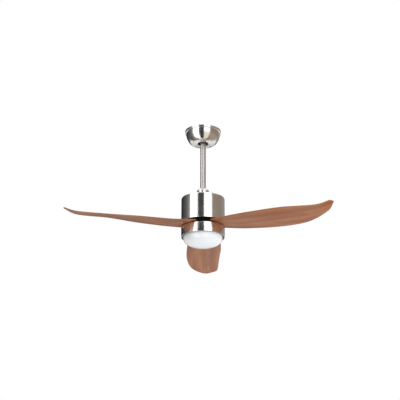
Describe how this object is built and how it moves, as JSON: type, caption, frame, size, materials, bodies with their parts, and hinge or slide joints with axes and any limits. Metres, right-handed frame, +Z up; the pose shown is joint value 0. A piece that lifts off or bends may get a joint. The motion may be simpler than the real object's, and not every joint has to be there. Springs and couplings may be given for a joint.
{
  "type": "ceiling fan with light",
  "caption": "Downrod ceiling fan with sculpted wooden blades, a brushed nickel canopy and motor housing, and an opal dome light under the hub.",
  "frame": {"origin": "on the ceiling, at the middle of the ceiling screw pattern and on the fan's axis", "axes": "+Z up into the ceiling, +Y along the third blade and away from the viewer, +X to the viewer's right"},
  "size_m": [1.1354, 1.0354, 0.559],
  "materials": {
    "brushed_nickel": "brushed nickel plate",
    "zinc_steel": "bright zinc plated steel",
    "screw_steel": "bright plated screws",
    "black_coat": "satin black coating",
    "cast_aluminium": "as cast",
    "sheet_aluminium": "plain sheet",
    "bearing_steel": "ground bearing steel",
    "brass": "turned brass",
    "silicon_steel": "stacked laminations",
    "enamelled_copper": "enamelled copper wire",
    "magnet": "sintered magnet",
    "black_plastic": "moulded, matte",
    "white_plastic": "moulded, matte",
    "nylon": "natural nylon",
    "grey_plastic": "moulded, matte",
    "circuit_board": "solder resist",
    "led_white": "phosphor",
    "rubber": "matte",
    "cable_sheath": "smooth sheath",
    "blade_wood": "satin oiled wood",
    "opal_acrylic": "opal, satin"
  },
  "bodies": {
    "ceiling_mount": {"ceiling_bracket": "zinc_steel", "terminal_block": "white_plastic", "terminal_screws": "brass", "receiver_case": "grey_plastic", "receiver_board": "circuit_board", "canopy": "brushed_nickel", "canopy_ring": "brushed_nickel", "canopy_screws": "screw_steel"},
    "liner": {"ball_liner": "nylon"},
    "hanging_frame": {"hanger_ball": "black_plastic", "ball_pin": "screw_steel", "ball_set_screw": "screw_steel", "downrod": "brushed_nickel", "fan_cable": "cable_sheath", "yoke_cover": "brushed_nickel", "motor_yoke": "zinc_steel", "yoke_pin": "screw_steel", "yoke_clip": "screw_steel", "yoke_set_screws": "screw_steel", "housing_screws": "screw_steel", "motor_housing": "brushed_nickel", "motor_shaft": "bearing_steel", "shaft_circlips": "zinc_steel", "stator_core": "silicon_steel", "stator_coils": "enamelled_copper", "upper_inner_race": "bearing_steel", "lower_inner_race": "bearing_steel", "light_plate": "zinc_steel", "shaft_washer": "zinc_steel", "shaft_nut": "zinc_steel", "plate_screws": "screw_steel", "light_housing": "brushed_nickel", "led_driver": "white_plastic", "led_carrier": "sheet_aluminium", "carrier_screws": "screw_steel", "led_board": "white_plastic", "led_chips": "led_white", "bayonet_ring": "black_plastic"},
    "rotor": {"upper_outer_race": "bearing_steel", "lower_outer_race": "bearing_steel", "rotor_upper": "cast_aluminium", "rotor_lower": "cast_aluminium", "rotor_screws": "screw_steel", "magnet_ring": "magnet", "blade_hub": "black_coat", "hub_bolts": "screw_steel", "blade_gaskets": "rubber", "blade_1": "blade_wood", "blade_2": "blade_wood", "blade_3": "blade_wood", "blade_screws": "screw_steel", "hub_cover": "black_coat", "cover_screws": "screw_steel"},
    "upper_bearing": {"upper_balls": "bearing_steel", "upper_cage": "brass"},
    "lower_bearing": {"lower_balls": "bearing_steel", "lower_cage": "brass"},
    "diffuser": {"diffuser": "opal_acrylic"}
  },
  "joints": [
    {"name": "tilt_front_back", "type": "hinge", "parent": "ceiling_mount", "child": "liner", "pos_m": [0, 0, -0.036], "axis": [1, 0, 0], "range_deg": [-15, 15]},
    {"name": "tilt_left_right", "type": "hinge", "parent": "liner", "child": "hanging_frame", "pos_m": [0, 0, -0.036], "axis": [0, 1, 0], "range_deg": [-15, 15]},
    {"name": "rotor_spin", "type": "hinge", "parent": "hanging_frame", "child": "rotor", "pos_m": [0, 0, -0.462], "axis": [0, 0, 1], "continuous": true},
    {"name": "upper_bearing_spin", "type": "hinge", "parent": "hanging_frame", "child": "upper_bearing", "pos_m": [0, 0, -0.366], "axis": [0, 0, 1], "continuous": true},
    {"name": "lower_bearing_spin", "type": "hinge", "parent": "hanging_frame", "child": "lower_bearing", "pos_m": [0, 0, -0.43], "axis": [0, 0, 1], "continuous": true},
    {"name": "diffuser_twist", "type": "hinge", "parent": "hanging_frame", "child": "diffuser", "pos_m": [0, 0, -0.517], "axis": [0, 0, 1], "range_deg": [0, 22]}
  ],
  "couplings": [
    {"joint": "upper_bearing_spin", "follows": "rotor_spin", "ratio": 0.6184},
    {"joint": "lower_bearing_spin", "follows": "rotor_spin", "ratio": 0.6184}
  ]
}
